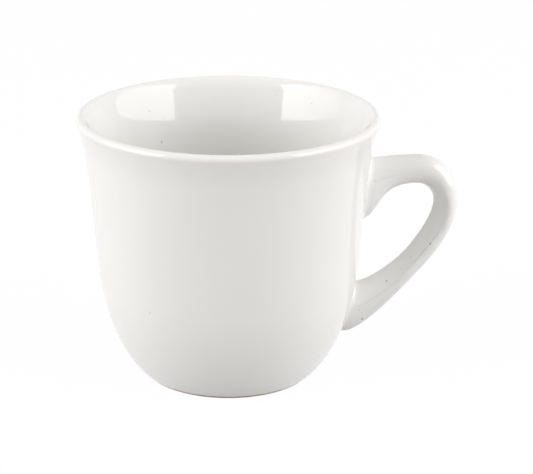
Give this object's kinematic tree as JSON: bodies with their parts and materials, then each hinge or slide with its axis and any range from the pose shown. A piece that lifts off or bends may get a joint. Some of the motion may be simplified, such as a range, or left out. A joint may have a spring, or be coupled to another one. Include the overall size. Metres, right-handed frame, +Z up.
{
  "type": "tall cup",
  "caption": "Tall white porcelain cup with a round bottom, a flared lip, a bare foot ring and a loop handle for one finger.",
  "frame": {"origin": "centre of the foot ring, on the surface that the cup stands on", "axes": "+Z up along the cup's axis, +X towards the handle, +Y across the handle"},
  "size_m": [0.1049, 0.0824, 0.074],
  "materials": {
    "glazed_porcelain": "gloss",
    "glazed_slip": "gloss"
  },
  "bodies": {
    "root": {"cup_body": "glazed_porcelain", "handle": "glazed_porcelain", "upper_lute": "glazed_slip", "lower_lute": "glazed_slip"}
  },
  "joints": []
}
